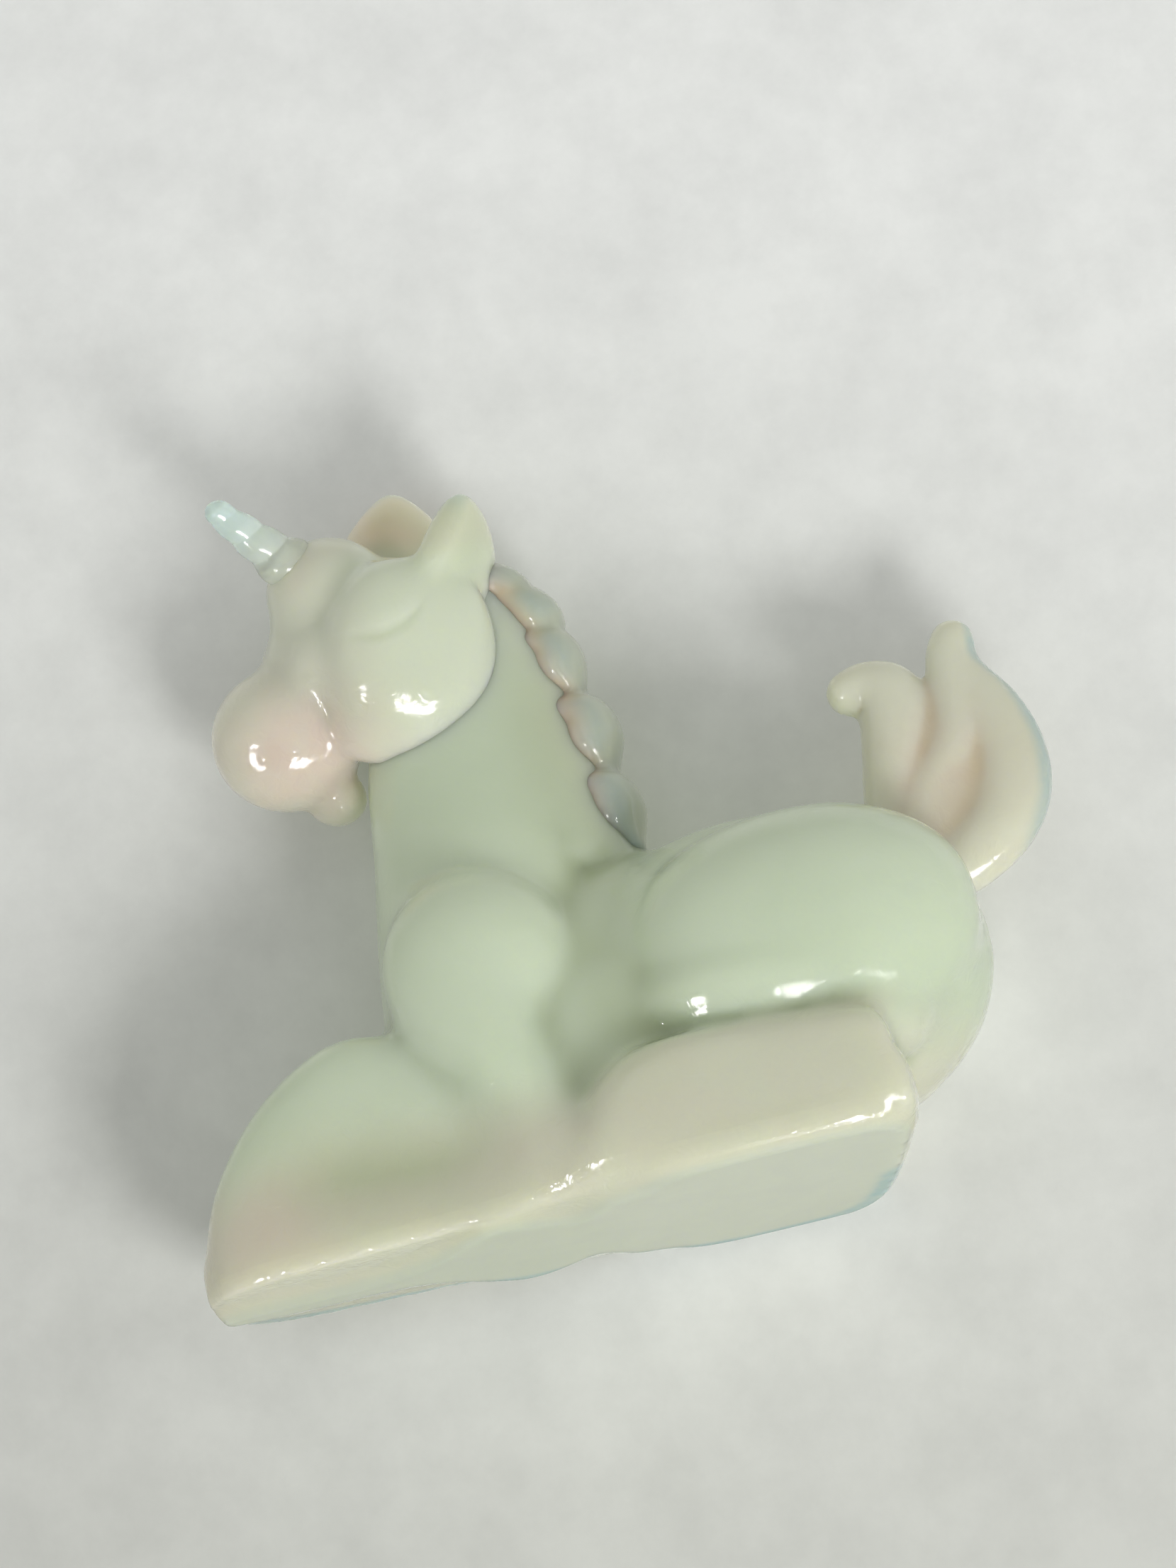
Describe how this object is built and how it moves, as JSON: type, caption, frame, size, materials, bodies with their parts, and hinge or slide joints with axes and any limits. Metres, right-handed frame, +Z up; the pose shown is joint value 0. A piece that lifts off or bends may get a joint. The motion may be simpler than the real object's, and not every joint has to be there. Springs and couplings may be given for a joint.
{
  "type": "unicorn figurine",
  "caption": "Solid pressed opal glass ornament of a reclining unicorn with a turned head, spiral horn, lobed mane and upright tail on a flat foot.",
  "frame": {"origin": "middle of the bounding box, at the level of the flat foot", "axes": "+Z up from the flat foot, -X the way the animal faces, -Y its left side, which the picture shows"},
  "size_m": [0.0782, 0.034, 0.0695],
  "materials": {
    "body": "glossy opal, mint green in the thick parts",
    "mane": "glossy opal with blue-grey edges",
    "tail": "glossy opal, ivory with tan hollows",
    "horn": "glossy, nearly clear at the tip"
  },
  "bodies": {
    "root": {"base": "body", "rump": "body", "barrel": "body", "neck": "body", "left_haunch": "body", "right_haunch": "body", "left_hind_leg": "body", "right_hind_leg": "body", "left_shoulder": "body", "right_shoulder": "body", "left_foreleg": "body", "right_foreleg": "body", "head": "body", "left_cheek": "body", "right_cheek": "body", "muzzle": "body", "chin": "body", "left_ear": "body", "right_ear": "body", "mane_lock_1": "mane", "mane_lock_2": "mane", "mane_lock_3": "mane", "mane_lock_4": "mane", "mane_lock_5": "mane", "tail_lock_front": "tail", "tail_lock_middle": "tail", "tail_lock_rear": "tail", "horn": "horn"}
  },
  "joints": []
}
